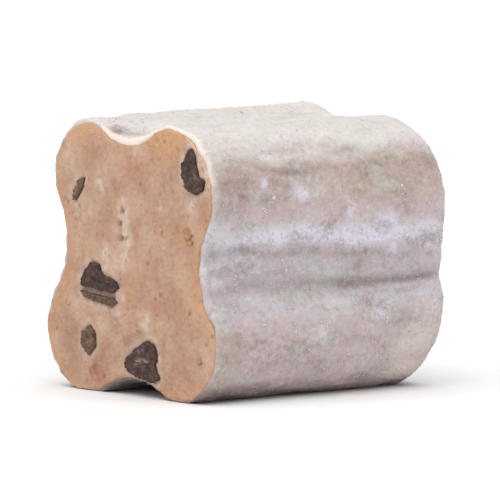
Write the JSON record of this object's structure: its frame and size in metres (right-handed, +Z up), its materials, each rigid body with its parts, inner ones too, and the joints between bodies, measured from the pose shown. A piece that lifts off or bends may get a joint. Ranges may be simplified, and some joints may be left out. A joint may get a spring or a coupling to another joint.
{
  "type": "chocolate truffle",
  "caption": "Lobed block of caramel chocolate truffle with a pale dusted skin, one flat cut end that shows dark biscuit chips and one softly rounded end, lying on its side.",
  "frame": {"origin": "middle of the footprint's box, on the surface that the truffle lies on", "axes": "+Z up, +Y along the block from the cut end to the rounded end, +X to the right as seen from the cut end"},
  "size_m": [0.026, 0.0278, 0.0248],
  "materials": {
    "truffle_mass": "soft matt caramel-brown truffle mass with dark biscuit chips, dusted pale grey-lilac outside"
  },
  "bodies": {
    "root": {"truffle": "truffle_mass"}
  },
  "joints": []
}
